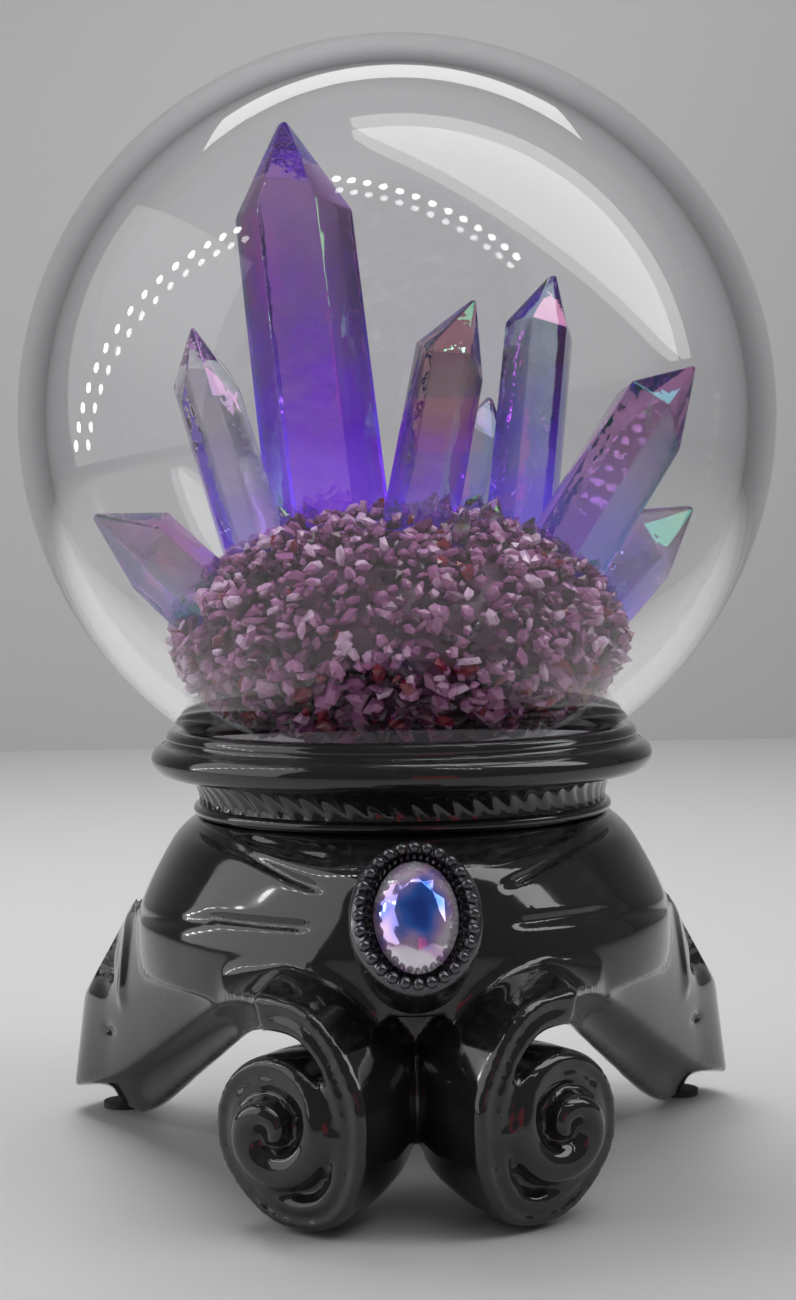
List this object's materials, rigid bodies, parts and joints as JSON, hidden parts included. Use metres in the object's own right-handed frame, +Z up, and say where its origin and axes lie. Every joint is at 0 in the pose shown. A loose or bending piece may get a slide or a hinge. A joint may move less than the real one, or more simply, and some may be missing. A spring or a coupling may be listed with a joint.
{
  "type": "light-up crystal ball ornament",
  "caption": "Clear globe over a cluster of tinted crystals on crushed chips, in a flanged collar on a black scroll-footed stand with an oval gem and a lamp inside.",
  "frame": {"origin": "on the globe's vertical axis, in the plane that the feet stand on", "axes": "+Z up along the globe's axis; -Y is the front, with the gem; +X is the object's left as it faces you, the viewer's right"},
  "size_m": [0.1, 0.1, 0.1464],
  "materials": {
    "clear_globe": "clear, polished, hollow",
    "silicone_seal": "translucent silicone",
    "frosted_disc": "frosted, lets light through",
    "core_resin": "translucent tinted resin",
    "crushed_chips": "crushed tinted chips, each face shiny",
    "crystal_violet": "clear tinted acrylic, lilac tip to violet root",
    "crystal_clear": "clear acrylic with an iridescent coat",
    "crystal_plum": "clear tinted acrylic, plum",
    "crystal_olive": "clear tinted acrylic, maroon to olive and violet",
    "crystal_blue": "clear tinted acrylic, periwinkle",
    "crystal_indigo": "clear tinted acrylic, indigo",
    "black_gloss": "black with a clear gloss coat",
    "gunmetal": "dark gunmetal, polished beads",
    "gem_glass": "faceted glass with an iridescent coat and a foil back",
    "pad_rubber": "matt black rubber",
    "base_black": "fine moulded texture",
    "screw_steel": "plated steel",
    "board_green": "solder mask",
    "led_lens": "clear lens",
    "reflector_white": "white",
    "cell_steel": "nickel-plated cans",
    "contact_metal": "sprung strip and wire",
    "slider_black": "ribbed thumb slider",
    "wire_red": "insulated wire",
    "wire_black": "insulated wire"
  },
  "bodies": {
    "stand": {"globe": "clear_globe", "globe_seal": "silicone_seal", "bed_disc": "frosted_disc", "mound_core": "core_resin", "chip_bed": "crushed_chips", "crystal_tall": "crystal_violet", "crystal_slim_left": "crystal_clear", "crystal_low_left": "crystal_plum", "crystal_centre": "crystal_olive", "crystal_clear_right": "crystal_blue", "crystal_lean_right": "crystal_plum", "crystal_low_right": "crystal_indigo", "crystal_rear_small": "crystal_blue", "collar": "black_gloss", "neck_band": "black_gloss", "neck_ring": "black_gloss", "stand_shell": "black_gloss", "scroll_leg_left": "black_gloss", "scroll_leg_right": "black_gloss", "side_foot_left": "black_gloss", "side_foot_right": "black_gloss", "gem_setting": "gunmetal", "gem_beads": "gunmetal", "gem_stone": "gem_glass", "front_pads": "pad_rubber", "side_pads": "pad_rubber", "base_plate": "base_black", "base_screws": "screw_steel", "collar_screws": "screw_steel", "board_screws": "screw_steel", "lamp_board": "board_green", "lamp_leds": "led_lens", "lamp_reflector": "reflector_white", "battery_tray": "base_black", "button_cells": "cell_steel", "battery_spring": "contact_metal", "battery_contact": "contact_metal", "switch_body": "base_black", "red_wire": "wire_red", "black_wire": "wire_black"},
    "battery_door": {"battery_door": "base_black"},
    "switch_slider": {"switch_slider": "slider_black"}
  },
  "joints": [
    {"name": "switch_slide", "type": "slide", "parent": "stand", "child": "switch_slider", "axis": [1, 0, 0], "range_m": [0, 0.003]},
    {"name": "door_slide", "type": "slide", "parent": "stand", "child": "battery_door", "axis": [0, 1, 0], "range_m": [0, 0.02]}
  ]
}
